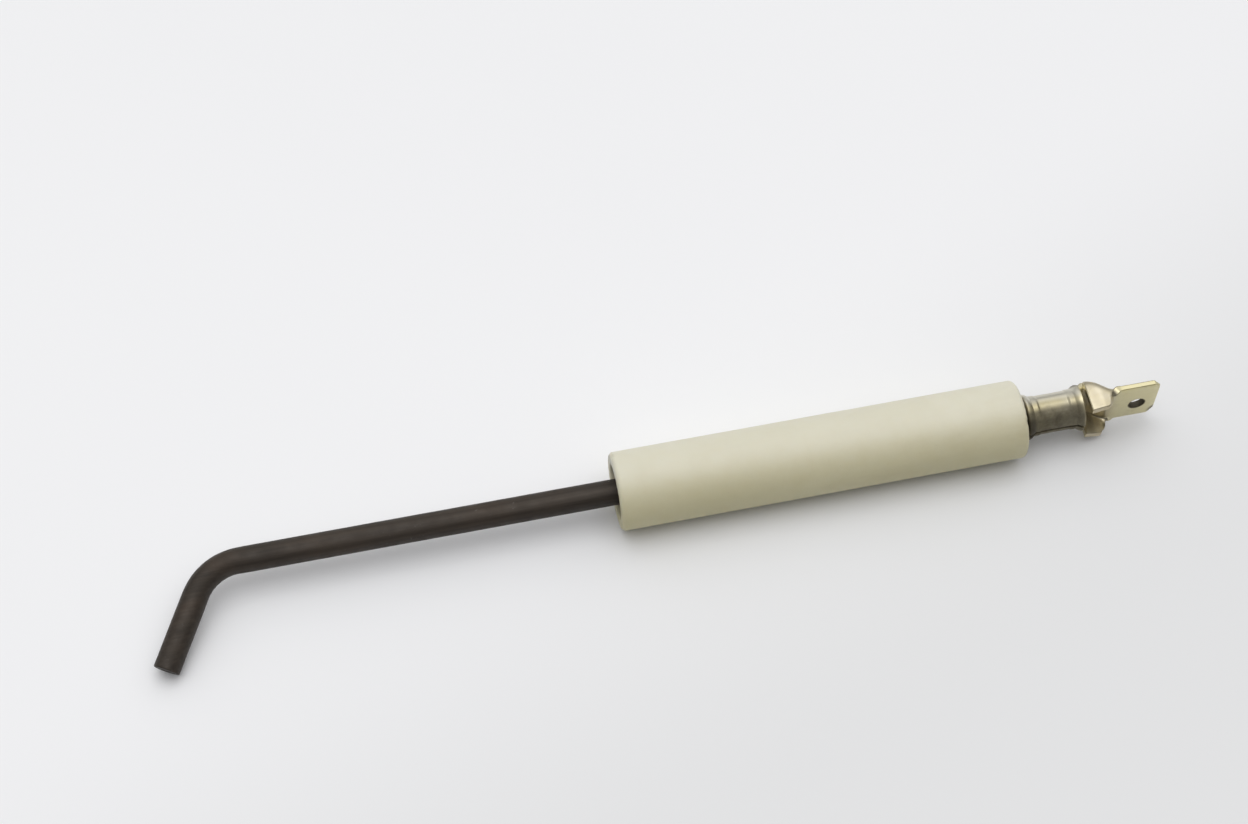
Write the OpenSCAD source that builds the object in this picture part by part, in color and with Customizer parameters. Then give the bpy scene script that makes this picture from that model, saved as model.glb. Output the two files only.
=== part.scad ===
// Ignition electrode with a bent rod, a round ceramic insulator and a push-on tab.
// Origin: on the insulator's axis, half way along the insulator.
// +X runs along the insulator towards the tab, +Z is up with the part lying on a table:
// it rests on the insulator and on the tip of the bent rod.

/* [Insulator] */
// Outer diameter of the insulator
ins_d = 9; // [8:0.1:12]
// Length of the insulator
ins_l = 47; // [30:0.5:80]
// Bore that the rod passes through
ins_bore_d = 3.3; // [3.2:0.05:3.6]
// Diameter of the recess in the front end
recess_d = 6.2; // [5.4:0.1:6.6]
// Depth of the recess in the front end
recess_l = 6; // [5:0.1:10]
// Diameter of the countersink in the rear end
rear_sink_d = 4.6; // [4:0.1:5.4]
// Depth of the countersink in the rear end
rear_sink_l = 1.2; // [0.6:0.1:2]
// Rounding of the outer edges at both ends
ins_edge_r = 0.5; // [0.2:0.05:0.8]

/* [Rod] */
// Diameter of the rod
rod_d = 3; // [2.4:0.1:3.1]
// Straight rod in front of the insulator, up to the corner of the bend
rod_reach = 46; // [20:0.5:90]
// Length of the bent leg, from the corner of the bend to the tip
leg_l = 12.3; // [8:0.1:25]
// Angle through which the rod is bent
bend_a = 60; // [30:0.5:75]
// Radius of the bend, on the rod's centre line
bend_r = 6; // [4.5:0.1:7]
// Chamfer at the cut tip
tip_c = 0.15; // [0.05:0.05:0.4]

/* [Retaining collar] */
// Outer diameter of the collar on the rod
collar_d = 5.6; // [4.8:0.1:6]
// Length of the collar
collar_l = 3; // [2:0.1:4]

/* [Cement] */
// How far the front cement stays back from the end of the insulator
front_cement_set = 1; // [0.3:0.1:1.5]
// How far the rear cement stands out of the insulator round the rod
rear_cement_proud = 0.35; // [0.1:0.05:0.5]

/* [Terminal] */
// Thickness of the terminal's sheet
sheet_t = 0.8; // [0.6:0.05:0.9]
// Free rod between the insulator and the crimp barrel
barrel_gap = 0.6; // [0.5:0.05:1.5]
// Length of the crimp barrel
barrel_l = 6.7; // [5:0.1:10]
// Width of the seam along the barrel
seam_w = 0.25; // [0.1:0.05:0.6]
// Height that the barrel flares by at its two ends
flare_h = 0.35; // [0.1:0.05:0.5]
// Width of the push-on tab
tab_w = 6.3; // [4.8:0.1:6.5]
// Distance from the end of the barrel to the tip of the tab
tail_l = 9.1; // [8:0.1:12]
// Length of the folded channel between barrel and tab
channel_l = 3.7; // [3:0.1:4.5]
// Distance of the channel's free edges from the insulator's axis
channel_y = 2.3; // [1.5:0.1:2.6]
// Offset of the tab's middle from the insulator's axis
tab_y = -0.2; // [-0.4:0.05:0.4]
// Diameter of the hole in the tab
hole_d = 1.8; // [1.2:0.1:2]
// Distance from the hole to the tip of the tab
hole_x = 2.4; // [2:0.1:3.2]
// Height of the hole below the tab's middle
hole_z = 0.4; // [0:0.05:0.8]
// Length of the chamfers at the tab's two corners
corner_c = 0.7; // [0.3:0.05:1.2]
// Turn of the terminal about the rod
tab_clock = 0; // [-30:1:30]

/* [Hidden] */

$fn = 96;
fit = 0.01;                                   // radial clearance of parts that touch
eps = 0.05;

x_front = -ins_l / 2;                         // front end face of the insulator
x_rear = ins_l / 2;                           // rear end face of the insulator
x_floor = x_front + recess_l;                 // floor of the front recess
x_bend = x_front - rod_reach;                 // corner of the bend
bend_t = bend_r * tan(bend_a / 2);            // from the corner to the end of the curve
tip_r = rod_d / 2;

// Turn of the leg about the rod at which its tip just reaches the surface
// that the insulator lies on.
ins_r = ins_d / 2;
leg_side = (leg_l - tip_c) * sin(bend_a);
leg_q = pow(leg_side, 2) + pow(tip_r * sin(bend_a), 2);
leg_disc = pow(ins_r * leg_side, 2) - leg_q * (pow(ins_r, 2) - pow(tip_r, 2));
dip_a = asin(min(0.9, (ins_r * leg_side - sqrt(max(0, leg_disc))) / leg_q));

x_barrel = x_rear + barrel_gap;               // barrel's front end
x_barrel_end = x_barrel + barrel_l;
x_channel = x_barrel_end + 0.45;              // after the relief slot
x_tab = x_barrel_end + channel_l;             // start of the plain tab
x_tip = x_barrel_end + tail_l;
x_rod_end = x_barrel_end + 0.15;
barrel_ri = rod_d / 2 + fit;
barrel_ro = rod_d / 2 + sheet_t;
y_back = barrel_ro - 0.15;                    // outer face of the web at the barrel

// A solid of revolution about the X axis: pts holds [x, r] pairs.
module turned(pts) {
    rotate([90, 0, 90]) rotate_extrude() polygon([for (p = pts) [p[1], p[0]]]);
}

// A straight rod along X from x0 to x1.
module rod_x(x0, x1, d) {
    translate([x0, 0, 0]) rotate([0, 90, 0]) cylinder(h = x1 - x0, d = d);
}

// A box given by its two corners.
module box(a, b) {
    translate(a) cube([b[0] - a[0], b[1] - a[1], b[2] - a[2]]);
}

module ceramic_insulator() {
    r = ins_d / 2;
    e = ins_edge_r;
    arc = [for (i = [1 : 5]) i * 15];
    color([0.93, 0.91, 0.84])
    difference() {
        turned(concat(
            [[x_front, 0], [x_front, r - e]],
            [for (a = arc) [x_front + e - e * cos(a), r - e + e * sin(a)]],
            [[x_front + e, r], [x_rear - e, r]],
            [for (a = arc) [x_rear - e + e * sin(a), r - e + e * cos(a)]],
            [[x_rear, r - e], [x_rear, 0]]));
        rod_x(x_front - 1, x_rear + 1, ins_bore_d);
        rod_x(x_front - 1, x_floor, recess_d);
        turned([[x_front - eps, 0], [x_front - eps, recess_d / 2 + 0.2 + eps],
                [x_front + 0.2, recess_d / 2], [x_front + 0.2, 0]]);
        turned([[x_rear - rear_sink_l, 0], [x_rear - rear_sink_l, ins_bore_d / 2],
                [x_rear, rear_sink_d / 2], [x_rear + 1, rear_sink_d / 2], [x_rear + 1, 0]]);
    }
}

// The leg turns out of the rod's line towards -Y and down by dip_a. The bent
// stretch is a hair thinner, because bending draws a rod out.
module electrode_rod() {
    lap = 0.25;
    color([0.20, 0.17, 0.15])
    rotate([dip_a, 0, 0])
    union() {
        rod_x(x_bend + bend_t - lap, x_rod_end, rod_d);
        translate([x_bend + bend_t, -bend_r, 0]) rotate([0, 0, 90])
            rotate_extrude(angle = bend_a) translate([bend_r, 0]) circle(d = rod_d - 0.06);
        translate([x_bend, 0, 0]) rotate([0, 0, bend_a]) rotate([0, -90, 0]) {
            translate([0, 0, bend_t - lap]) cylinder(h = leg_l - bend_t - tip_c + lap, d = rod_d);
            translate([0, 0, leg_l - tip_c])
                cylinder(h = tip_c, d1 = rod_d, d2 = rod_d - 2 * tip_c);
        }
    }
}

// Swaged collar that bears on the floor of the front recess.
module retaining_collar() {
    r = collar_d / 2;
    c = 0.3;
    x0 = x_floor - collar_l;
    color([0.45, 0.44, 0.42])
    difference() {
        turned([[x0, 0], [x0, r - c], [x0 + c, r], [x_floor - fit - c, r],
                [x_floor - fit, r - c], [x_floor - fit, 0]]);
        rod_x(x0 - 1, x_floor + 1, rod_d + 2 * fit);
    }
}

// Cement round the rod in front of the collar, with a hollow meniscus.
module front_cement() {
    ri = rod_d / 2 + fit;
    ro = recess_d / 2 - fit;
    x0 = x_front + front_cement_set;
    x1 = x_floor - collar_l - fit;
    color([0.30, 0.28, 0.26])
    difference() {
        turned([[x0, 0], [x0, ri + 0.1], [x0 + 0.22, ri + 0.35 * (ro - ri)],
                [x0 + 0.25, ri + 0.6 * (ro - ri)], [x0 + 0.1, ro - 0.12], [x0 - 0.1, ro], [x1, ro], [x1, 0]]);
        rod_x(x0 - 1, x1 + 1, 2 * ri);
    }
}

// Cement in the rear countersink, with a small fillet up the rod.
module rear_cement() {
    ri = rod_d / 2 + fit;
    rb = ins_bore_d / 2;
    rs = rear_sink_d / 2 - fit;
    x0 = x_rear - rear_sink_l + 0.02;
    color([0.62, 0.60, 0.55])
    difference() {
        turned([[x0, 0], [x0, rb], [x_rear, rs - 0.02], [x_rear + 0.12, rs - 0.25],
                [x_rear + rear_cement_proud, ri + 0.12], [x_rear + rear_cement_proud, 0]]);
        rod_x(x0 - 1, x_rear + 2, 2 * ri);
    }
}

// Barrel of the terminal, closed round the rod, with a flare at each end.
module crimp_barrel() {
    f = flare_h;
    a = x_barrel;
    b = x_barrel_end;
    difference() {
        turned([[a, 0], [a, barrel_ro + f], [a + 0.15, barrel_ro + f], [a + 0.75, barrel_ro],
                [b - 0.75, barrel_ro], [b - 0.15, barrel_ro + f], [b, barrel_ro + f], [b, 0]]);
        rod_x(a - 1, b + 1, 2 * barrel_ri);
        turned([[a - eps, 0], [a - eps, barrel_ri + f + 0.03], [a + 0.6, barrel_ri], [a + 0.6, 0]]);
        turned([[b + eps, 0], [b + eps, barrel_ri + f + 0.03], [b - 0.6, barrel_ri], [b - 0.6, 0]]);
        box([a - 1, -barrel_ro - 2, -seam_w / 2], [b + 1, 0, seam_w / 2]);
    }
}

// Back wall that joins the barrel to the channel across the relief slot.
module neck() {
    intersection() {
        difference() {
            rod_x(x_barrel_end - 0.7, x_channel + 0.4, 2 * barrel_ro);
            rod_x(x_barrel_end - 2, x_channel + 2, 2 * barrel_ri + 0.1);
        }
        box([x_barrel_end - 1, 0.75, -3], [x_channel + 1, 3, 3]);
    }
}

// Side wall of the channel: deep at the barrel, and gone where the tab starts.
module channel_side() {
    hull() {
        box([x_channel, -channel_y, 2.85 - sheet_t], [x_channel + 0.5, y_back, 2.85]);
        box([x_tab - 1.5, -channel_y, tab_w / 2 - sheet_t], [x_tab - 1.4, 0.9, tab_w / 2]);
        box([x_tab - 0.1, tab_y - sheet_t / 2, tab_w / 2 - sheet_t], [x_tab + 0.3, tab_y + sheet_t / 2, tab_w / 2]);
    }
}

module tab_blade() {
    c = corner_c;
    w = tab_w / 2;
    difference() {
        translate([0, tab_y + sheet_t / 2, 0]) rotate([90, 0, 0]) linear_extrude(sheet_t)
            polygon([[x_tab - 0.6, -w], [x_tip - c, -w], [x_tip, -w + c],
                     [x_tip, w - c], [x_tip - c, w], [x_tab - 0.6, w]]);
        translate([x_tip - hole_x, tab_y + 3, -hole_z]) rotate([90, 0, 0]) cylinder(h = 6, d = hole_d);
        for (s = [-1, 1])
            translate([x_tip, tab_y + s * (sheet_t / 2 - 0.22), 0]) rotate([0, 0, -s * 16])
                translate([-3, s > 0 ? 0 : -1, -5]) cube([6, 1, 10]);
    }
}

module tab_terminal() {
    color([0.74, 0.70, 0.58])
    rotate([tab_clock, 0, 0])
    union() {
        crimp_barrel();
        neck();
        hull() {
            box([x_channel, y_back - sheet_t, -2.85], [x_channel + 0.4, y_back, 2.85]);
            box([x_tab - 0.7, tab_y - sheet_t / 2, -tab_w / 2], [x_tab - 0.5, tab_y + sheet_t / 2, tab_w / 2]);
        }
        channel_side();
        mirror([0, 0, 1]) channel_side();
        tab_blade();
    }
}

ceramic_insulator();
electrode_rod();
retaining_collar();
front_cement();
rear_cement();
tab_terminal();
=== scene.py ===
import bpy
import math
import numpy as np
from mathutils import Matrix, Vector, noise


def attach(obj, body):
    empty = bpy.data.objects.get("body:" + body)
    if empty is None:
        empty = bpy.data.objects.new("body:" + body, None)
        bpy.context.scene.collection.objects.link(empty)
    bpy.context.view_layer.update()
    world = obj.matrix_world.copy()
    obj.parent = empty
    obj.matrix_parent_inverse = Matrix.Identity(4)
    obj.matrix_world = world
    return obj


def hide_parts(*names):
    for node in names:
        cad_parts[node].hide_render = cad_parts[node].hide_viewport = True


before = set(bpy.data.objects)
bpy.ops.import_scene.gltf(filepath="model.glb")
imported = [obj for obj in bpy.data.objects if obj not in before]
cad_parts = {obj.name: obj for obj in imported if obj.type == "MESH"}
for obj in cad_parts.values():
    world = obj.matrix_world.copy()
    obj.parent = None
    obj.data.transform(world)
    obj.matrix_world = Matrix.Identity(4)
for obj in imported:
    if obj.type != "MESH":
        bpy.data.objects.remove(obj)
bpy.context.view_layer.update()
scene = bpy.context.scene
MM = 0.001

# ---------------------------------------------------------------- dimensions, mm, same frame as the CAD
INS_L, INS_R = 47.0, 4.5
X0, X1 = -INS_L / 2, INS_L / 2
ROD_R = 1.5
X_BEND = X0 - 46.0
LEG_L, BEND_A, BEND_R, TIP_C = 12.3, math.radians(60.0), 6.0, 0.15
BEND_T = BEND_R * math.tan(BEND_A / 2)
_L = (LEG_L - TIP_C) * math.sin(BEND_A)
_q = _L ** 2 + (ROD_R * math.sin(BEND_A)) ** 2
DIP = math.asin((INS_R * _L - math.sqrt((INS_R * _L) ** 2 - _q * (INS_R ** 2 - ROD_R ** 2))) / _q)
XB0, XB1 = X1 + 0.6, X1 + 0.6 + 6.7
X_CH, X_TAB, X_TIP = XB1 + 0.45, XB1 + 3.7, XB1 + 9.1
X_ROD_END = XB1 + 0.15
TAB_Y, TAB_W, SHEET = -0.2, 6.3, 0.8


def n3(x, y, z, s=1.0, seed=0.0):
    return noise.noise(Vector((x * s + seed, y * s - seed * 0.7, z * s + seed * 0.3)))


def sstep(a, b, x):
    t = np.clip((np.asarray(x, float) - a) / (b - a), 0, 1)
    return t * t * (3 - 2 * t)


def make_obj(name, verts, faces, mat, sharp=35.0, smooth=True):
    me = bpy.data.meshes.new(name)
    me.from_pydata([tuple(float(c) * MM for c in v) for v in verts], [], [tuple(int(i) for i in f) for f in faces])
    me.validate()
    me.update()
    if smooth:
        me.polygons.foreach_set("use_smooth", [True] * len(me.polygons))
        me.set_sharp_from_angle(angle=math.radians(sharp))
    ob = bpy.data.objects.new(name, me)
    scene.collection.objects.link(ob)
    me.materials.append(mat)
    return ob


def lathe(profile, n, warp=None):
    """Closed profile of (x, r) turned round X. warp(x, r, a, k) gives the moved (x, r)."""
    m = len(profile)
    verts, faces = [], []
    for i in range(n):
        a = 2 * math.pi * i / n
        for k, (x, r) in enumerate(profile):
            if warp:
                x, r = warp(x, r, a, k)
            verts.append((x, r * math.cos(a), r * math.sin(a)))
    for i in range(n):
        j = (i + 1) % n
        for k in range(m):
            l = (k + 1) % m
            faces.append((i * m + k, i * m + l, j * m + l, j * m + k))
    return verts, faces


def arc(cx, cr, rad, a0, a1, n):
    return [(cx + rad * math.cos(a0 + (a1 - a0) * i / n), cr + rad * math.sin(a0 + (a1 - a0) * i / n)) for i in range(n + 1)]


# ---------------------------------------------------------------- materials
class Mat:
    def __init__(self, name):
        self.m = bpy.data.materials.new(name)
        self.m.use_nodes = True
        self.nt = self.m.node_tree
        self.nt.nodes.clear()
        self.out = self.node("ShaderNodeOutputMaterial")
        self.b = self.node("ShaderNodeBsdfPrincipled")
        self.link(self.b, "BSDF", self.out, "Surface")
        self.co = self.node("ShaderNodeTexCoord")

    def node(self, kind, **kw):
        n = self.nt.nodes.new(kind)
        for k, v in kw.items():
            setattr(n, k, v)
        return n

    def link(self, a, ao, b, bi):
        self.nt.links.new(a.outputs[ao], b.inputs[bi])

    def mapping(self, scale=(1, 1, 1), rot=(0, 0, 0)):
        mp = self.node("ShaderNodeMapping")
        mp.inputs["Scale"].default_value = scale
        mp.inputs["Rotation"].default_value = rot
        self.link(self.co, "Object", mp, "Vector")
        return mp

    def noise(self, scale, detail=4, rough=0.55, mp=None, dist=0.0):
        n = self.node("ShaderNodeTexNoise")
        n.inputs["Scale"].default_value = scale
        n.inputs["Detail"].default_value = detail
        n.inputs["Roughness"].default_value = rough
        n.inputs["Distortion"].default_value = dist
        if mp is None:
            self.link(self.co, "Object", n, "Vector")
        else:
            self.link(mp, "Vector", n, "Vector")
        return n

    def ramp(self, src, out, stops):
        r = self.node("ShaderNodeValToRGB")
        while len(r.color_ramp.elements) < len(stops):
            r.color_ramp.elements.new(0.5)
        for e, (p, c) in zip(r.color_ramp.elements, stops):
            e.position = p
            e.color = (c, c, c, 1) if isinstance(c, (int, float)) else (*c, 1)
        self.link(src, out, r, "Fac")
        return r

    def mix(self, fac, a, b, mode="MIX"):
        """fac: (node, out) or number. a, b: (node, out) or colour."""
        n = self.node("ShaderNodeMix", data_type="RGBA", blend_type=mode)
        for key, v in ((0, fac), (6, a), (7, b)):
            if isinstance(v, tuple) and hasattr(v[0], "outputs"):
                self.nt.links.new(v[0].outputs[v[1]], n.inputs[key])
            elif key == 0:
                n.inputs[0].default_value = v
            else:
                n.inputs[key].default_value = (*v, 1)
        return n

    def math(self, op, a, b=None, clamp=False):
        n = self.node("ShaderNodeMath", operation=op, use_clamp=clamp)
        for i, v in enumerate((a, b)):
            if v is None:
                continue
            if isinstance(v, tuple):
                self.nt.links.new(v[0].outputs[v[1]], n.inputs[i])
            else:
                n.inputs[i].default_value = v
        return n

    def along(self, axis, lo, hi, offset=(0, 0, 0)):
        """0 to 1 as the distance in mm along an axis goes from lo to hi."""
        sub = self.node("ShaderNodeVectorMath", operation="SUBTRACT")
        sub.inputs[1].default_value = tuple(v * MM for v in offset)
        self.link(self.co, "Object", sub, 0)
        d = self.node("ShaderNodeVectorMath", operation="DOT_PRODUCT")
        d.inputs[1].default_value = axis
        self.link(sub, "Vector", d, 0)
        r = self.node("ShaderNodeMapRange", interpolation_type="SMOOTHSTEP")
        r.inputs["From Min"].default_value = min(lo, hi) * MM
        r.inputs["From Max"].default_value = max(lo, hi) * MM
        if lo > hi:
            r.inputs["To Min"].default_value = 1.0
            r.inputs["To Max"].default_value = 0.0
        self.link(d, "Value", r, "Value")
        return r

    def near(self, point, r0, r1, keep=(1, 1, 1)):
        """1 inside r0 mm of a point, falling to 0 at r1. keep drops an axis."""
        sub = self.node("ShaderNodeVectorMath", operation="SUBTRACT")
        sub.inputs[1].default_value = tuple(v * MM for v in point)
        self.link(self.co, "Object", sub, 0)
        mul = self.node("ShaderNodeVectorMath", operation="MULTIPLY")
        mul.inputs[1].default_value = keep
        self.link(sub, "Vector", mul, 0)
        ln = self.node("ShaderNodeVectorMath", operation="LENGTH")
        self.link(mul, "Vector", ln, 0)
        r = self.node("ShaderNodeMapRange", interpolation_type="SMOOTHSTEP")
        r.inputs["From Min"].default_value = r0 * MM
        r.inputs["From Max"].default_value = r1 * MM
        r.inputs["To Min"].default_value = 1.0
        r.inputs["To Max"].default_value = 0.0
        self.link(ln, "Value", r, "Value")
        return r

    def bump(self, src, out, strength, dist, chain=None):
        n = self.node("ShaderNodeBump")
        n.inputs["Strength"].default_value = strength
        n.inputs["Distance"].default_value = dist
        self.link(src, out, n, "Height")
        if chain:
            self.link(chain, "Normal", n, "Normal")
        return n


def ceramic_material():
    M = Mat("insulator_ceramic")
    b = M.b
    big = M.noise(55, 3, 0.5)
    tone = M.ramp(big, "Fac", [(0.30, (0.630, 0.594, 0.432)), (0.70, (0.690, 0.657, 0.505))])
    mott = M.noise(420, 5, 0.6)
    mfac = M.ramp(mott, "Fac", [(0.42, 0.0), (0.72, 1.0)])
    c1 = M.mix((M.math("MULTIPLY", (mfac, "Color"), 0.35), "Value"), (tone, "Color"), (0.60, 0.55, 0.37))
    # tiny dark grains, as in fired alumina
    vo = M.node("ShaderNodeTexVoronoi", feature="F1")
    vo.inputs["Scale"].default_value = 1500
    M.link(M.co, "Object", vo, "Vector")
    sp = M.ramp(vo, "Distance", [(0.0, 1.0), (0.10, 0.0)])
    gate = M.ramp(M.noise(700, 2, 0.5), "Fac", [(0.60, 0.0), (0.68, 1.0)])
    spg = M.math("MULTIPLY", (sp, "Color"), (gate, "Color"))
    c2 = M.mix((M.math("MULTIPLY", (spg, "Value"), 0.55), "Value"), (c1, 2), (0.24, 0.20, 0.13))
    # handling grime: streaks round the tube, stronger near the two ends
    sx = M.node("ShaderNodeSeparateXYZ")
    M.link(M.co, "Object", sx, "Vector")
    ax = M.math("ABSOLUTE", (sx, "X"))
    endm = M.node("ShaderNodeMapRange")
    endm.interpolation_type = "SMOOTHSTEP"
    endm.inputs["From Min"].default_value = 0.0195
    endm.inputs["From Max"].default_value = 0.0240
    M.link(ax, "Value", endm, "Value")
    gr = M.ramp(M.noise(160, 6, 0.65, M.mapping((0.35, 1, 1)), 0.6), "Fac", [(0.50, 0.0), (0.78, 1.0)])
    gsum = M.math("ADD", (M.math("MULTIPLY", (gr, "Color"), 0.16), "Value"),
                  (M.math("MULTIPLY", (endm, "Result"), (M.math("MULTIPLY", (gr, "Color"), 0.30), "Value")), "Value"), clamp=True)
    c3 = M.mix((gsum, "Value"), (c2, 2), (0.40, 0.34, 0.22))
    # painted shade: darker and yellower on the lower side facing the viewer; painted highlight: paler on the upper
    # back side
    painted_shade_lower_side = M.along((0, -0.87, -0.5), -2.0, 4.3)
    hi = M.along((0, 0.6, 0.8), 1.2, 4.4)
    c4 = M.mix((M.math("MULTIPLY", (painted_shade_lower_side, "Result"), 0.75), "Value"), (c3, 2), (0.84, 0.815, 0.62), "MULTIPLY")
    c5 = M.mix((M.math("MULTIPLY", (hi, "Result"), 0.30), "Value"), (c4, 2), (0.645, 0.648, 0.60))
    M.link(c5, 2, b, "Base Color")
    rr = M.ramp(M.noise(260, 4, 0.6), "Fac", [(0.3, 0.40), (0.75, 0.58)])
    M.link(rr, "Color", b, "Roughness")
    b.inputs["Specular IOR Level"].default_value = 0.45
    b.inputs["Subsurface Weight"].default_value = 0.12
    b.inputs["Subsurface Radius"].default_value = (1.0, 0.75, 0.45)
    b.inputs["Subsurface Scale"].default_value = 0.0008
    fine = M.noise(5200, 3, 0.6)
    orange = M.noise(900, 3, 0.5)
    b1 = M.bump(fine, "Fac", 0.22, 0.00002)
    b2 = M.bump(orange, "Fac", 0.35, 0.00004, b1)
    b3 = M.bump(spg, "Value", -0.25, 0.00003, b2)
    M.link(b3, "Normal", b, "Normal")
    return M.m


def rod_material():
    M = Mat("oxidised_rod")
    b = M.b
    big = M.noise(130, 4, 0.6, M.mapping((0.5, 1, 1)), 0.5)
    c = M.ramp(big, "Fac", [(0.28, (0.022, 0.018, 0.014)), (0.52, (0.036, 0.028, 0.021)), (0.80, (0.060, 0.041, 0.028))])
    # lengthwise marks left by drawing the wire
    streak = M.noise(2600, 4, 0.6, M.mapping((0.02, 1, 1)))
    st = M.ramp(streak, "Fac", [(0.38, 0.0), (0.70, 1.0)])
    c2 = M.mix((M.math("MULTIPLY", (st, "Color"), 0.40), "Value"), (c, "Color"), (0.078, 0.061, 0.046))
    # flakes where the scale has lifted
    fl = M.noise(900, 5, 0.7)
    flm = M.ramp(fl, "Fac", [(0.66, 0.0), (0.72, 1.0)])
    c3 = M.mix((M.math("MULTIPLY", (flm, "Color"), 0.55), "Value"), (c2, 2), (0.13, 0.115, 0.105))
    M.link(c3, 2, b, "Base Color")
    r = M.ramp(M.noise(600, 4, 0.6), "Fac", [(0.3, 0.46), (0.75, 0.68)])
    M.link(r, "Color", b, "Roughness")
    b.inputs["Metallic"].default_value = 0.35
    b.inputs["Specular IOR Level"].default_value = 0.35
    b1 = M.bump(streak, "Fac", 0.35, 0.00003)
    b2 = M.bump(M.noise(4200, 4, 0.6), "Fac", 0.30, 0.00002, b1)
    b3 = M.bump(flm, "Color", 0.30, 0.00002, b2)
    M.link(b3, "Normal", b, "Normal")
    return M.m


def plated_material(name="plated_brass", brass=0.5):
    M = Mat(name)
    b = M.b
    b.inputs["Metallic"].default_value = 1.0
    wear = M.noise(330, 5, 0.6)
    w = M.ramp(wear, "Fac", [(0.38, 0.0), (0.66, 1.0)])
    base = M.mix((M.math("MULTIPLY", (w, "Color"), brass + 0.15), "Value"), (0.600, 0.560, 0.400), (0.545, 0.480, 0.260))
    # edges rub through to the brass
    geo = M.node("ShaderNodeNewGeometry")
    pt = M.ramp(geo, "Pointiness", [(0.52, 0.0), (0.60, 1.0)])
    c1 = M.mix((M.math("MULTIPLY", (pt, "Color"), 0.55), "Value"), (base, 2), (0.72, 0.62, 0.36))
    st = M.ramp(M.noise(2400, 5, 0.65, M.mapping((0.05, 1, 1))), "Fac", [(0.35, 0.0), (0.75, 1.0)])
    dirt = M.ramp(M.noise(620, 5, 0.7), "Fac", [(0.55, 0.0), (0.78, 1.0)])
    c2 = M.mix((M.math("MULTIPLY", (dirt, "Color"), 0.38), "Value"), (c1, 2), (0.20, 0.155, 0.085))
    # painted shade, darkened with a little mottling: the barrel's lower front side, the gap round its mouth by the
    # insulator, inside the hole, the nub at its rear top and a corner of the tip; the same mask dulls the metal
    barrel = M.along((1, 0, 0), XB1 + 0.35, XB1 - 0.5)
    under = M.along((0, -0.80, -0.60), -1.40, -0.55)
    mouth = M.along((1, 0, 0), XB0 + 2.4, XB0 + 0.4)
    side = M.along((0, -0.80, -0.60), -1.6, 0.4)
    mot = M.ramp(M.noise(900, 5, 0.7), "Fac", [(0.30, 0.72), (0.70, 1.0)])
    g1 = M.math("MULTIPLY", (M.math("MULTIPLY", (barrel, "Result"), (under, "Result")), "Value"), (mot, "Color"))
    g2 = M.math("MULTIPLY", (mouth, "Result"), (side, "Result"))
    hole = M.near((X_TIP - 2.4, 0, -0.4), 0.94, 1.12, (1, 0, 1))
    tipc = M.near((X_TIP - 0.15, 0, -2.35), 0.15, 0.95, (1, 0, 1))
    g3 = M.math("MAXIMUM", (M.math("MULTIPLY", (g1, "Value"), 0.94), "Value"), (g2, "Value"))
    g4 = M.math("MAXIMUM", (g3, "Value"), (hole, "Result"))
    nub = M.near((XB1 + 0.05, 2.45, 1.5), 0.45, 1.35)
    g5 = M.math("MAXIMUM", (g4, "Value"), (M.math("MULTIPLY", (nub, "Result"), 0.85), "Value"))
    painted_shade_mask = M.math("MAXIMUM", (g5, "Value"), (M.math("MULTIPLY", (tipc, "Result"), (mot, "Color")), "Value"))
    dull = M.mix((M.math("MULTIPLY", (barrel, "Result"), 0.85), "Value"), (c2, 2), (0.78, 0.76, 0.76), "MULTIPLY")
    # painted highlight: the barrel's upper back side is painted paler
    painted_highlight_barrel_top = M.math("MULTIPLY", (barrel, "Result"), (M.along((0, 0.80, 0.60), 1.35, 2.15), "Result"))
    dull = M.mix((M.math("MULTIPLY", (painted_highlight_barrel_top, "Value"), 0.70), "Value"), (dull, 2), (0.74, 0.72, 0.64))
    blade = M.along((1, 0, 0), X_TAB - 0.2, X_TAB + 1.0)
    dull = M.mix((M.math("MULTIPLY", (blade, "Result"), 0.45), "Value"), (dull, 2), (0.68, 0.625, 0.36))
    fla = M.math("MULTIPLY", (M.along((1, 0, 0), XB1 + 0.2, XB1 + 0.7), "Result"), (M.along((1, 0, 0), X_TAB + 0.4, X_TAB - 0.6), "Result"))
    dul2 = M.mix((M.math("MULTIPLY", (fla, "Value"), 0.75), "Value"), (dull, 2), (0.80, 0.77, 0.86), "MULTIPLY")
    c3 = M.mix((painted_shade_mask, "Value"), (dul2, 2), (0.070, 0.060, 0.038))
    M.link(c3, 2, b, "Base Color")
    met = M.math("SUBTRACT", 1.0, (M.math("MULTIPLY", (painted_shade_mask, "Value"), 0.55), "Value"))
    M.link(met, "Value", b, "Metallic")
    r0 = M.math("MULTIPLY", (st, "Color"), 0.12)
    r1 = M.math("MULTIPLY", (dirt, "Color"), 0.16)
    r2 = M.math("ADD", (M.math("ADD", (r0, "Value"), (r1, "Value")), "Value"), 0.30)
    r3 = M.math("ADD", (r2, "Value"), (M.math("MULTIPLY", (painted_shade_mask, "Value"), 0.30), "Value"))
    M.link(r3, "Value", b, "Roughness")
    b1 = M.bump(st, "Color", 0.16, 0.00002)
    b2 = M.bump(M.noise(3000, 3, 0.5), "Fac", 0.10, 0.00002, b1)
    M.link(b2, "Normal", b, "Normal")
    return M.m


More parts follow.
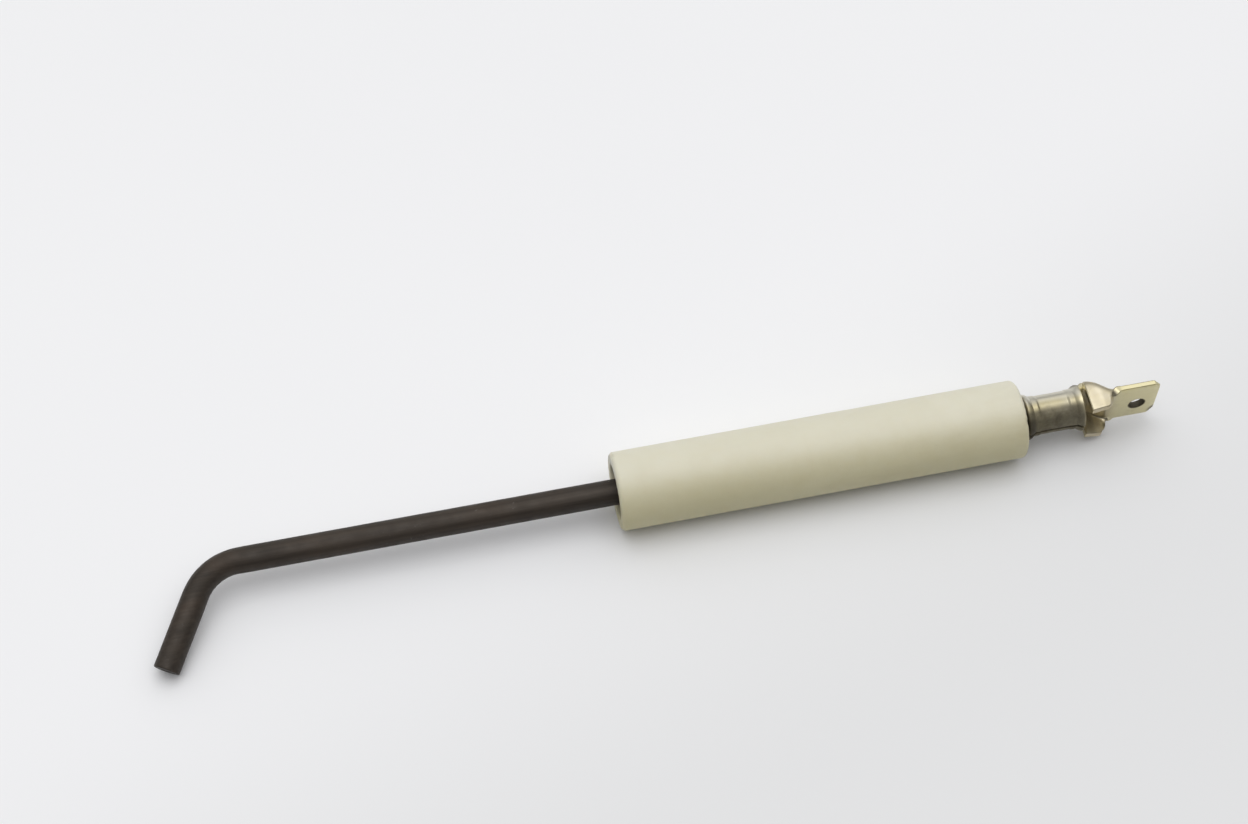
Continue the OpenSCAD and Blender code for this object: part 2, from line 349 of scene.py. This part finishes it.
def steel_material():
    M = Mat("collar_steel")
    b = M.b
    b.inputs["Metallic"].default_value = 0.9
    c = M.ramp(M.noise(500, 5, 0.6), "Fac", [(0.3, (0.16, 0.15, 0.14)), (0.75, (0.34, 0.32, 0.30))])
    rust = M.ramp(M.noise(900, 4, 0.7), "Fac", [(0.62, 0.0), (0.72, 1.0)])
    c2 = M.mix((M.math("MULTIPLY", (rust, "Color"), 0.5), "Value"), (c, "Color"), (0.16, 0.08, 0.04))
    M.link(c2, 2, b, "Base Color")
    r = M.ramp(M.noise(800, 4, 0.6), "Fac", [(0.3, 0.35), (0.75, 0.6)])
    M.link(r, "Color", b, "Roughness")
    M.link(M.bump(M.noise(2500, 4, 0.6, M.mapping((1, 0.1, 0.1))), "Fac", 0.3, 0.00003), "Normal", b, "Normal")
    return M.m


def cement_material(name, lo, hi):
    M = Mat(name)
    b = M.b
    c = M.ramp(M.noise(1400, 6, 0.7), "Fac", [(0.30, lo), (0.74, hi)])
    vo = M.node("ShaderNodeTexVoronoi", feature="F1")
    vo.inputs["Scale"].default_value = 3800
    M.link(M.co, "Object", vo, "Vector")
    g = M.ramp(vo, "Distance", [(0.0, 1.0), (0.45, 0.0)])
    c2 = M.mix((M.math("MULTIPLY", (g, "Color"), 0.35), "Value"), (c, "Color"), tuple(min(1, v * 1.9) for v in hi))
    M.link(c2, 2, b, "Base Color")
    r = M.ramp(M.noise(900, 3, 0.6), "Fac", [(0.3, 0.80), (0.75, 0.97)])
    M.link(r, "Color", b, "Roughness")
    b.inputs["Specular IOR Level"].default_value = 0.3
    b1 = M.bump(g, "Color", 0.5, 0.00004)
    b2 = M.bump(M.noise(2600, 5, 0.7), "Fac", 0.6, 0.00006, b1)
    M.link(b2, "Normal", b, "Normal")
    return M.m


# ---------------------------------------------------------------- insulator
def build_insulator():
    e = 0.5
    pts = []
    # outer edge at the front, outer wall, outer edge at the rear
    pts += arc(X0 + e, INS_R - e, e, math.pi, math.pi / 2, 8)
    nx = 118
    pts += [(X0 + e + (INS_L - 2 * e) * i / nx, INS_R) for i in range(1, nx)]
    pts += arc(X1 - e, INS_R - e, e, math.pi / 2, 0, 8)
    # rear face, countersink, bore
    pts += [(X1, 3.4), (X1, 2.9), (X1, 2.5)]
    pts += [(X1 - 0.03, 2.36), (X1 - 0.10, 2.26)]
    pts += [(X1 - 1.2 * t, 2.3 - 0.65 * t) for t in (0.25, 0.5, 0.75, 1.0)]
    pts += [(X1 - 1.6 - 38.5 * i / 30, 1.65) for i in range(31)]
    # floor of the front recess and its wall
    pts += [(X0 + 6.02, 1.72), (X0 + 6.0, 1.9), (X0 + 6.0, 2.5), (X0 + 6.0, 2.95), (X0 + 5.95, 3.07), (X0 + 5.85, 3.1)]
    pts += [(X0 + 5.85 - 5.5 * i / 14, 3.1) for i in range(1, 15)]
    pts += arc(X0 + 0.28, 3.38, 0.28, -math.pi / 2, -math.pi, 5)[1:]
    pts += [(X0, 3.55), (X0, 3.75), (X0, 3.9)]

    chips = [(X0, 0.9, 0.34), (X0, 3.6, 0.22), (X1, 2.2, 0.30), (X0, 5.1, 0.18), (X1, 4.9, 0.22)]

    def warp(x, r, a, k):
        y, z = r * math.cos(a), r * math.sin(a)
        if r > 4.2:
            # as-fired surface: a little out of round, with faint ripples along the tube
            d = 0.010 * (n3(x, y * 0.6, z * 0.6, 0.16, 3.1) + 1) + 0.004 * (n3(x, y, z, 1.3, 7.7) + 1)
            r -= d
        near = min(abs(x - X0), abs(x - X1))
        if near < 0.55 and r > 3.0:
            d = 0.03 * max(0.0, n3(x, y, z, 2.2, 5.5) + 0.15)
            x += d if x < 0 else -d
            for cx, ca, cr in chips:
                if abs(cx - x) < 1.2:
                    q = math.dist((x, y, z), (cx, INS_R * math.cos(ca) * 0.97, INS_R * math.sin(ca) * 0.97))
                    if q < cr * 1.6:
                        f = (1 - q / (cr * 1.6)) ** 0.7 * (0.8 + 0.4 * n3(x, y, z, 6, 1.0))
                        r -= 0.16 * f * cr / 0.3
                        x += (0.10 if x < 0 else -0.10) * f * cr / 0.3
        return x, r

    v, f = lathe(pts, 224, warp)
    return make_obj("insulator_body", v, [t[::-1] for t in f], MATS["ceramic"], 40)


# ---------------------------------------------------------------- rod
def centre_line():
    """Points, and the frame at each, along the rod from its rear end to its spark tip, before the dip."""
    out = []
    x = X_ROD_END
    xs = np.linspace(X_ROD_END, X_BEND + BEND_T, 250)
    for x in xs:
        out.append((np.array([x, 0, 0.0]), np.array([-1.0, 0, 0])))
    nb = 44
    for i in range(1, nb + 1):
        t = BEND_A * i / nb
        c = np.array([X_BEND + BEND_T, -BEND_R, 0])
        p = c + BEND_R * np.array([-math.sin(t), math.cos(t), 0])
        out.append((p, np.array([-math.cos(t), -math.sin(t), 0])))
    p0, d = out[-1]
    nl = 44
    for i in range(1, nl + 1):
        out.append((p0 + d * (LEG_L - BEND_T) * i / nl, d))
    return out


def build_rod():
    n = 72
    line = centre_line()
    total = np.cumsum([0] + [np.linalg.norm(line[i + 1][0] - line[i][0]) for i in range(len(line) - 1)])
    z = np.array([0, 0, 1.0])
    ca, sa = math.cos(DIP), math.sin(DIP)
    R = np.array([[1, 0, 0], [0, ca, -sa], [0, sa, ca]])
    verts = []
    bend0 = X_ROD_END - (X_BEND + BEND_T)
    bend1 = bend0 + BEND_R * BEND_A
    end = total[-1]

    def ring(p, d, s, r, shift=0.0, tilt=0.0):
        side = np.cross(d, z)          # towards +Y on the straight part: the outside of the bend
        if side @ np.array([0, 1, 0]) < 0 and s < bend0:
            side = -side
        k = float(sstep(bend0 - 1, bend0 + 1.5, s) * (1 - sstep(bend1 - 1.5, bend1 + 1, s)))
        pts = []
        for i in range(n):
            a = 2 * math.pi * i / n
            c, q = math.cos(a), math.sin(a)
            # the bend flattens the rod a little, and leaves faint ripples on its inside
            rr_ = r * (1 + k * (-0.030 * c * c + 0.012 * q * q))
            if k > 0 and c < -0.3:
                rr_ -= 0.010 * k * (1 + math.sin(s * 7.0)) * (-c - 0.3)
            w = p + side * c * rr_ + z * q * rr_
            g = 0.006 * (n3(w[0] * 0.25, w[1], w[2], 1.7, 2.0) - 1) + 0.004 * (n3(w[0] * 0.1, w[1] * 3, w[2] * 3, 1.5, 9.0) - 1)
            # drawn wire: fine lengthwise lines
            g += 0.0022 * (math.sin(a * 17 + 0.8 * math.sin(a * 3)) - 1)
            # jaw marks of the bending tool on both sides of the bend
            for s0 in (bend0 - 2.2, bend1 + 2.0):
                u = (s - s0) / 0.55
                if abs(u) < 1 and abs(q) > 0.80:
                    g -= 0.035 * (1 - u * u) * (abs(q) - 0.80) / 0.20
            rr2 = rr_ + g
            w = p + side * c * rr2 + z * q * rr2 + d * (shift + tilt * (c * 0.9 + q * 0.4))
            pts.append(R @ w)
        return pts

    rings = []
    # rear end: cropped, with a small roll-over
    p, d = line[0]
    for sh, r in ((0.02, 0.75), (0.0, 1.15), (0.02, 1.34), (0.08, 1.44), (0.20, 1.49)):
        rings.append(ring(p, d, 0.0, r, sh, 0.0))
    for (p, d), s in zip(line[2:-1], total[2:-1]):
        rings.append(ring(p, d, s, ROD_R))
    # spark tip: square-cut, with a rolled edge, a shear step and a burr
    p, d = line[-1]
    for sh, r, tl in ((-0.13, 1.498, 0.0), (-0.07, 1.475, 0.006), (-0.025, 1.43, 0.015), (-0.005, 1.35, 0.02),
                      (-0.03, 1.18, 0.02), (-0.045, 0.85, 0.014)):
        rings.append(ring(p, d, end, r, sh, tl))
    m = len(rings)
    for rg in rings:
        verts += [tuple(q) for q in rg]
    faces = []
    for k in range(m - 1):
        for i in range(n):
            j = (i + 1) % n
            faces.append((k * n + i, k * n + j, (k + 1) * n + j, (k + 1) * n + i))

    def cap(k, first):
        """Fills an end with two inner rings and a centre, roughened as a cropped face."""
        base = np.array(rings[k])
        c = base.mean(0)
        prev = [k * n + i for i in range(n)]
        dirn = (base - c)
        nrm = np.cross(dirn[0], dirn[n // 4])
        nrm /= np.linalg.norm(nrm)
        for fr in (0.62, 0.30):
            idx = []
            for i in range(n):
                w = c + dirn[i] * fr
                w = w + nrm * 0.02 * n3(*w, 3.0, 4.0)
                idx.append(len(verts))
                verts.append(tuple(w))
            for i in range(n):
                j = (i + 1) % n
                q = (prev[i], prev[j], idx[j], idx[i])
                faces.append(q[::-1] if first else q)
            prev = idx
        ci = len(verts)
        verts.append(tuple(c))
        for i in range(n):
            j = (i + 1) % n
            q = (prev[i], prev[j], ci)
            faces.append(q[::-1] if first else q)

    cap(0, True)
    cap(m - 1, False)
    ob = make_obj("rod_wire", verts, faces, MATS["rod"], 50)
    return ob


# ---------------------------------------------------------------- terminal
def bend_section(x, s, R, a, rb, th, yb, m):
    """Point and outward normal in the YZ plane of the sheet's mid-surface at arc length s from its back middle.
    m = 0 is the round barrel, m = 1 is the folded channel or the flat tab."""
    sg = 1 if s >= 0 else -1
    s = abs(s)
    nst = max(2, int(s / 0.035) + 1)
    y, z, phi = yb, 0.0, 0.0
    ds = s / nst
    for i in range(nst):
        q = (i + 0.5) * ds
        k0 = 1.0 / R
        L = max(1e-6, rb * th)
        u0 = float(sstep(a - 0.12, a + 0.12, q))
        u1 = float(sstep(a + L - 0.12, a + L + 0.12, q))
        k1 = (u0 - u1) * (th / L)
        k = k0 * (1 - m) + k1 * m
        h = phi + k * ds / 2
        y -= math.sin(h) * ds
        z += math.cos(h) * ds
        phi += k * ds
    return y, sg * z, math.cos(phi), sg * math.sin(phi)


def build_terminal():
    Rm = ROD_R + 0.012 + SHEET / 2
    neck = 2.1
    y_ch = Rm - 0.35

    def params(x):
        m = float(sstep(XB1 - 0.02, X_CH - 0.02, x))
        a = 2.05 + 0.32 * float(sstep(X_CH, X_CH + 1.6, x))
        rb = 0.65
        th = math.pi / 2 * (1 - float(sstep(X_TAB - 1.1, X_TAB + 0.5, x)))
        yb = Rm + (y_ch - Rm) * float(sstep(XB1 - 0.3, X_CH + 0.2, x))
        yb += (TAB_Y - y_ch) * float(sstep(X_CH + 0.1, X_TAB - 0.15, x))
        return Rm, a, rb, th, yb, m

    def edge_y(x):
        return -2.3 + (2.3 + TAB_Y) * float(sstep(X_TAB - 1.5, X_TAB + 0.25, x)) ** 1.0

    def half_w(x):
        """Half of the strip's developed width in the channel and the tab."""
        R, a, rb, th, yb, m = params(x)
        # in the channel the free edge lies at edge_y; on the tab the strip is TAB_W wide
        deep = a + rb * th + max(0.0, (yb - rb) - edge_y(x)) * (1 if th > 0.2 else 0) if th > 0.2 else 0
        flat = TAB_W / 2
        k = float(sstep(X_TAB - 0.9, X_TAB + 0.45, x))
        w = deep * (1 - k) + flat * k if th > 0.2 else flat
        soft = 0.32 * (1 - float(sstep(X_TAB - 0.3, X_TAB + 0.7, x)))
        w = flat + 0.5 * ((w - flat) + math.sqrt((w - flat) ** 2 + soft ** 2))
        c = 0.7
        if x > X_TIP - c:
            w = TAB_W / 2 - 1.0 * (x - (X_TIP - c))
        return w

    def flare(x, s):
        f = 0.34 * (1 - float(sstep(XB0 + 0.10, XB0 + 0.78, x))) ** 1.0
        f += 0.34 * float(sstep(XB1 - 0.85, XB1 - 0.18, x)) * (1 - float(sstep(XB1 + 0.02, XB1 + 0.40, x)))
        return f

    xs_a = list(np.linspace(XB0, XB1, 60))
    xs_b = list(np.linspace(XB1, X_CH, 11))
    xs_c = list(np.linspace(X_CH, X_TIP - 0.7, 72)) + list(np.linspace(X_TIP - 0.7, X_TIP, 10))[1:]
    n_in, n_out = 33, 26
    verts, cells, vid = [], [], {}
    info = []

    def vert(x, s, region):
        key = (round(x, 4), round(s, 4))
        if key in vid:
            return vid[key]
        R, a, rb, th, yb, m = params(x)
        y, z, ny, nz = bend_section(x, s, R, a, rb, th, yb, m)
        f = flare(x, s)
        vid[key] = len(verts)
        verts.append((x, y + ny * f, z + nz * f))
        info.append((x, s, ny, nz, region))
        return vid[key]

    def strip(xs, cols, region):
        """cols(x) gives the arc lengths of the columns."""
        prev = None
        for x in xs:
            row = [vert(x, s, region) for s in cols(x)]
            if prev:
                for i in range(len(row) - 1):
                    cells.append((prev[i], row[i], row[i + 1], prev[i + 1]))
            prev = row

    inner = list(np.linspace(-neck, neck, n_in))
    w_a = math.pi * Rm - 0.14

    def cols_a(x):
        o = [neck + (w_a - neck) * i / n_out for i in range(1, n_out + 1)]
        return [-v for v in o[::-1]] + inner + o

    def cols_c(x):
        w = half_w(x)
        c = neck * (1 - float(sstep(X_TAB - 1.0, X_TAB + 1.5, x))) + 0.62 * w * float(sstep(X_TAB - 1.0, X_TAB + 1.5, x))
        c = min(c, 0.8 * w)
        ins = [c * v / neck for v in inner]
        o = [c + (w - c) * i / n_out for i in range(1, n_out + 1)]
        return [-v for v in o[::-1]] + ins + o

    strip(xs_a, cols_a, "barrel")
    strip(xs_b, lambda x: inner, "neck")
    strip(xs_c, cols_c, "tail")

    # rim edges are those used by one cell only
    count = {}
    for c in cells:
        for i in range(4):
            e = (c[i], c[(i + 1) % 4])
            k = tuple(sorted(e))
            count.setdefault(k, []).append((e, c))
    P = np.array(verts)
    N = np.array([(0.0, i[2], i[3]) for i in info])
    # true normals from the cells, so that sloping stretches keep their thickness
    acc = np.zeros_like(P)
    for c in cells:
        q = np.cross(P[c[2]] - P[c[0]], P[c[3]] - P[c[1]])
        L = np.linalg.norm(q)
        if L > 1e-12:
            q = q / L
            for i in c:
                acc[i] += q
    acc /= np.maximum(np.linalg.norm(acc, axis=1, keepdims=True), 1e-9)
    flip = np.sign((acc * N).sum(1))
    flip[flip == 0] = 1
    if (flip > 0).mean() < 0.5:
        acc = -acc
    N = acc
    inset = np.zeros_like(P)
    rim = []
    for k, lst in count.items():
        if len(lst) == 1:
            (e, c) = lst[0]
            rim.append(e)
            mid = (P[e[0]] + P[e[1]]) / 2
            ctr = P[list(c)].mean(0)
            t = P[e[1]] - P[e[0]]
            t /= max(1e-9, np.linalg.norm(t))
            d = ctr - mid
            d -= t * (d @ t)
            d /= max(1e-9, np.linalg.norm(d))
            inset[e[0]] += d
            inset[e[1]] += d
    ln = np.linalg.norm(inset, axis=1)
    on_rim = ln > 1e-6
    inset[on_rim] /= np.maximum(ln[on_rim], 1.0)[:, None] ** 0.5
    T = np.full(len(P), SHEET)
    outer_cut = np.zeros(len(P))
    for i, (x, s, ny, nz, region) in enumerate(info):
        if region == "tail":
            w = half_w(x)
            # bevelled lead-in at the tip and along the tab's two long edges
            T[i] = min(T[i], SHEET - 0.42 * float(sstep(X_TIP - 0.95, X_TIP + 0.25, x)))
            if x > X_TAB + 0.2:
                T[i] -= 0.20 * float(sstep(w - 0.42, w, abs(s))) * float(sstep(X_TAB + 0.2, X_TAB + 0.9, x))
        if region == "barrel":
            # the crimping tool's closed band: a shallow waist with a step at both sides
            wst = float(sstep(XB0 + 1.35, XB0 + 1.65, x) * (1 - sstep(XB1 - 1.75, XB1 - 1.45, x)))
            outer_cut[i] = 0.075 * wst
            # two flats where the jaws met
            ang = s / Rm
            outer_cut[i] += 0.10 * wst * float(sstep(0.90, 1.0, abs(math.cos(ang * 1.0 + math.pi / 2))))
            # a stake mark on the back
            q = math.hypot((x - (XB0 + 3.3)) / 0.85, (s - 0.35) / 0.75)
            if q < 1:
                outer_cut[i] += 0.16 * (1 - q * q) ** 1.5
        g = 0.006 * n3(*P[i], 1.4, 3.0)
        outer_cut[i] += g
    ch = 0.07
    cut = N * outer_cut[:, None]
    out = P + N * (T / 2)[:, None] - cut + inset * ch
    inn = P - N * (T / 2)[:, None] + inset * ch
    out[~on_rim] = (P + N * (T / 2)[:, None] - cut)[~on_rim]
    inn[~on_rim] = (P - N * (T / 2)[:, None])[~on_rim]
    V = list(out) + list(inn)
    n0 = len(P)
    r1, r2 = {}, {}
    for i in np.where(on_rim)[0]:
        r1[i] = len(V)
        V.append(P[i] + N[i] * (T[i] / 2 - ch) - cut[i] * 0.6)
        r2[i] = len(V)
        V.append(P[i] - N[i] * (T[i] / 2 - ch))
    F = []
    for c in cells:
        F.append(tuple(c))
        F.append(tuple(n0 + i for i in c[::-1]))
    for a_, b_ in rim:
        for u, w_ in (((a_, b_), (r1[a_], r1[b_])), ((r1[a_], r1[b_]), (r2[a_], r2[b_])), ((r2[a_], r2[b_]), (n0 + a_, n0 + b_))):
            F.append((u[1], u[0], w_[0], w_[1]))
    ob = make_obj("terminal_stamping", V, F, MATS["plated"], 28)
    # outward normals
    import bmesh
    bm = bmesh.new()
    bm.from_mesh(ob.data)
    bmesh.ops.recalc_face_normals(bm, faces=bm.faces)
    bm.to_mesh(ob.data)
    bm.free()
    # hole in the tab, with the punch's roll-over on one side and a break-out on the other
    hx, hy, hz = X_TIP - 2.4, TAB_Y, -0.4
    prof = [(-1.2, 1.25), (-0.46, 1.08), (-0.40, 1.00), (-0.32, 0.93), (-0.20, 0.90), (0.10, 0.90), (0.28, 0.915), (0.40, 0.96), (0.46, 1.02), (1.2, 1.15)]
    cv, cf = [], []
    nn = 72
    for i in range(nn):
        a = 2 * math.pi * i / nn
        for (y, r) in prof:
            cv.append((hx + r * math.cos(a), hy + y, hz + r * math.sin(a)))
    mm = len(prof)
    for i in range(nn):
        j = (i + 1) % nn
        for k in range(mm - 1):
            cf.append((i * mm + k, j * mm + k, j * mm + k + 1, i * mm + k + 1))
    cf.append(tuple(i * mm for i in range(nn))[::-1])
    cf.append(tuple(i * mm + mm - 1 for i in range(nn)))
    cutter = make_obj("hole_cutter", cv, cf, MATS["plated"], 30)
    bm = bmesh.new()
    bm.from_mesh(cutter.data)
    bmesh.ops.recalc_face_normals(bm, faces=bm.faces)
    bm.to_mesh(cutter.data)
    bm.free()
    md = ob.modifiers.new("hole", "BOOLEAN")
    md.operation = "DIFFERENCE"
    md.solver = "EXACT"
    md.object = cutter
    bpy.context.view_layer.update()
    dg = bpy.context.evaluated_depsgraph_get()
    new = bpy.data.meshes.new_from_object(ob.evaluated_get(dg))
    ob.modifiers.clear()
    ob.data = new
    bpy.data.objects.remove(cutter)
    new.polygons.foreach_set("use_smooth", [True] * len(new.polygons))
    new.set_sharp_from_angle(angle=math.radians(28))
    return ob


# ---------------------------------------------------------------- collar and cement
def build_collar():
    xa, xb = X0 + 3.0, X0 + 5.99
    r, c, ri = 2.8, 0.3, 1.515
    pts = [(xa, ri + 0.08), (xa, 2.0), (xa, r - c)] + arc(xa + c, r - c, c, math.pi, math.pi / 2, 4)[1:]
    pts += [(xa + c + (2.39) * i / 16, r) for i in range(1, 16)]
    pts += arc(xb - c, r - c, c, math.pi / 2, 0, 4) + [(xb, 2.0), (xb, ri + 0.08), (xb - 0.08, ri)]
    pts += [(xb - 0.08 - 2.83 * i / 10, ri) for i in range(1, 11)]

    def warp(x, rr, a, k):
        if rr > 2.6:
            # six swaging dents, with a fine knurl between them
            u = abs(math.sin(3 * a))
            d = 0.16 * float(sstep(0.90, 1.0, u)) * math.exp(-((x - (xa + xb) / 2) / 0.75) ** 2)
            rr -= d + 0.012 * (1 + math.sin(40 * a + 3 * x)) * (1 - float(sstep(0.8, 0.95, u)))
        return x, rr

    v, f = lathe(pts, 192, warp)
    return make_obj("swaged_collar", v, [t[::-1] for t in f], MATS["steel"], 35)


def build_front_cement():
    ri, ro = 1.512, 3.085
    x0, x1 = X0 + 1.0, X0 + 2.985
    pts = [(x1, ri), (x1 - 0.9, ri), (x0 + 0.35, ri), (x0 + 0.02, ri), (x0 - 0.10, ri + 0.02)]
    m = 14
    for i in range(1, m):
        t = i / m
        pts.append((x0 - 0.10 + 0.34 * math.sin(math.pi * min(1, t * 1.02)) ** 0.8, ri + 0.02 + (ro - ri - 0.02) * t))
    pts += [(x0 - 0.08, ro), (x0 + 0.3, ro), (x1 - 0.9, ro), (x1, ro), (x1, 2.4), (x1, 1.9)]

    def warp(x, r, a, k):
        y, z = r * math.cos(a), r * math.sin(a)
        if x < x0 + 0.5 and ri + 0.01 < r < ro - 0.01:
            x += 0.075 * n3(x, y, z, 1.6, 2.0) + 0.035 * n3(x, y, z, 5.5, 6.0)
        if x < x0 + 0.2 and r <= ri + 0.02:
            x -= 0.10 * max(0.0, n3(0, y, z, 1.1, 8.0))
        return x, r

    v, f = lathe(pts, 144, warp)
    return make_obj("front_cement_fill", v, [t[::-1] for t in f], MATS["cement_dark"], 60)


def build_rear_cement():
    ri, rb, rs = 1.512, 1.645, 2.28
    x0, x1, xe = X1 - 1.18, X1 + 0.10, X1 + 0.35
    pts = [(x0, ri), (x0, rb), (X1 - 0.9, rb + 0.14), (X1 - 0.6, rb + 0.30), (X1 - 0.3, rb + 0.46), (X1 - 0.04, rs - 0.02)]
    for i in range(1, 9):
        t = i / 9
        pts.append((X1 - 0.04 + 0.37 * t ** 1.6, rs - 0.02 - (rs - ri - 0.05) * t))
    pts += [(xe - 0.02, ri + 0.01), (xe - 0.05, ri), (X1 - 0.3, ri), (X1 - 0.8, ri)]

    def warp(x, r, a, k):
        y, z = r * math.cos(a), r * math.sin(a)
        if x > X1 - 0.03 and r > ri + 0.015:
            x += 0.05 * n3(x, y, z, 1.8, 2.6) + 0.03 * n3(x, y, z, 6.0, 1.0) - 0.03
        return x, r

    v, f = lathe(pts, 128, warp)
    return make_obj("rear_cement_fill", v, f, MATS["cement_pale"], 60)


MATS = {
    "ceramic": ceramic_material(),
    "rod": rod_material(),
    "plated": plated_material(),
    "steel": steel_material(),
    "cement_dark": cement_material("dark_cement", (0.035, 0.030, 0.026), (0.085, 0.075, 0.066)),
    "cement_pale": cement_material("pale_cement", (0.24, 0.22, 0.18), (0.42, 0.39, 0.33)),
}

PIECES = [
    (build_insulator, "ceramic_insulator", "insulator_ceramic"),
    (build_rod, "electrode_rod", "oxidised_rod"),
    (build_terminal, "tab_terminal", "plated_brass"),
    (build_collar, "retaining_collar", "collar_steel"),
    (build_front_cement, "front_cement", "dark_cement"),
    (build_rear_cement, "rear_cement", "pale_cement"),
]
for make, node, slot in PIECES:
    ob = make()
    import bmesh
    bm = bmesh.new()
    bm.from_mesh(ob.data)
    bmesh.ops.recalc_face_normals(bm, faces=bm.faces)
    bm.to_mesh(ob.data)
    bm.free()
    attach(ob, "root")
    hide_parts(node)

# ---------------------------------------------------------------- floor, light and camera
fl = Mat("floor_paper")
nz = fl.ramp(fl.noise(9, 4, 0.5), "Fac", [(0.3, (0.832, 0.834, 0.842)), (0.7, (0.848, 0.850, 0.856))])
# painted shade: the floor darkens towards the front right
floor_painted_shade_dot = fl.node("ShaderNodeVectorMath", operation="DOT_PRODUCT")
floor_painted_shade_dot.inputs[1].default_value = (0.35, -0.94, 0)
fl.link(fl.co, "Object", floor_painted_shade_dot, 0)
fr = fl.node("ShaderNodeMapRange")
fr.interpolation_type = "SMOOTHSTEP"
fr.inputs["From Min"].default_value = -0.025
fr.inputs["From Max"].default_value = 0.032
fl.link(floor_painted_shade_dot, "Value", fr, "Value")
floor_colour_painted_shade = fl.mix((fr, "Result"), (nz, "Color"), (0.735, 0.738, 0.740))
fl.link(floor_colour_painted_shade, 2, fl.b, "Base Color")
fl.b.inputs["Roughness"].default_value = 0.75
fl.b.inputs["Specular IOR Level"].default_value = 0.25
fl.link(fl.bump(fl.noise(1500, 3, 0.5), "Fac", 0.05, 0.00004), "Normal", fl.b, "Normal")
zf = -INS_R
floor = make_obj("floor", [(-3000, -3000, zf), (3000, -3000, zf), (3000, 3000, zf), (-3000, 3000, zf)], [(0, 1, 2, 3)], fl.m, smooth=False)

world = bpy.data.worlds.new("studio")
scene.world = world
world.use_nodes = True
wt = world.node_tree
wt.nodes.clear()
wo = wt.nodes.new("ShaderNodeOutputWorld")
bg = wt.nodes.new("ShaderNodeBackground")
tc = wt.nodes.new("ShaderNodeTexCoord")
dot = wt.nodes.new("ShaderNodeVectorMath")
dot.operation = "DOT_PRODUCT"
# bright from above and behind, dark towards the viewer's side
dot.inputs[1].default_value = (0.05, 0.45, 0.89)
wr = wt.nodes.new("ShaderNodeValToRGB")
els = wr.color_ramp.elements
els[0].position, els[0].color = 0.32, (0.15, 0.15, 0.155, 1)
els[1].position, els[1].color = 0.64, (1.0, 1.0, 1.0, 1)
# and brighter towards the zenith than near the horizon
sz = wt.nodes.new("ShaderNodeSeparateXYZ")
zr = wt.nodes.new("ShaderNodeValToRGB")
zels = zr.color_ramp.elements
zels[0].position, zels[0].color = 0.0, (0.36, 0.36, 0.36, 1)
zels[1].position, zels[1].color = 1.0, (1.25, 1.25, 1.26, 1)
zm = zels.new(0.55)
zm.color = (0.76, 0.76, 0.76, 1)
wm = wt.nodes.new("ShaderNodeVectorMath")
wm.operation = "MULTIPLY"
wt.links.new(tc.outputs["Generated"], sz.inputs[0])
wt.links.new(sz.outputs["Z"], zr.inputs["Fac"])
wt.links.new(wr.outputs["Color"], wm.inputs[0])
wt.links.new(zr.outputs["Color"], wm.inputs[1])
lp = wt.nodes.new("ShaderNodeLightPath")
mx = wt.nodes.new("ShaderNodeMix")
mx.data_type = "RGBA"
wt.links.new(tc.outputs["Generated"], dot.inputs[0])
wt.links.new(dot.outputs["Value"], wr.inputs["Fac"])
wt.links.new(lp.outputs["Is Camera Ray"], mx.inputs[0])
wt.links.new(wm.outputs["Vector"], mx.inputs[6])
mx.inputs[7].default_value = (0.72, 0.725, 0.72, 1)
wt.links.new(mx.outputs[2], bg.inputs["Color"])
bg.inputs["Strength"].default_value = 1.12
wt.links.new(bg.outputs[0], wo.inputs[0])


def area(name, loc, target, size, power, colour=(1, 1, 1)):
    ld = bpy.data.lights.new(name, "AREA")
    ld.shape = "RECTANGLE"
    ld.size, ld.size_y = size
    ld.energy = power
    ld.color = colour
    lo = bpy.data.objects.new(name, ld)
    scene.collection.objects.link(lo)
    lo.location = loc
    lo.rotation_euler = (Vector(target) - Vector(loc)).to_track_quat("-Z", "Y").to_euler()
    return lo


area("key_softbox", (-0.03, 0.03, 0.62), (-0.02, 0.0, 0), (0.52, 0.52), 1.15, (0.99, 0.99, 1.0))

cam_d = bpy.data.cameras.new("camera")
cam = bpy.data.objects.new("camera", cam_d)
scene.collection.objects.link(cam)
cam_d.sensor_width = 36
cam_d.lens = 72.0
cam_d.clip_start = 0.005
cam_d.clip_end = 20
AZ, EL, DIST = math.radians(-11.665), math.radians(60.0), 0.2856
tgt = Vector((-0.02041, 0.00996, 0.0))
cam.location = tgt + DIST * Vector((math.sin(AZ) * math.cos(EL), -math.cos(AZ) * math.cos(EL), math.sin(EL)))
cam.rotation_euler = (tgt - cam.location).to_track_quat("-Z", "Y").to_euler()
scene.camera = cam
scene.view_settings.view_transform = "Standard"
scene.view_settings.look = "None"
scene.view_settings.exposure = 0.0
scene.view_settings.gamma = 1.0
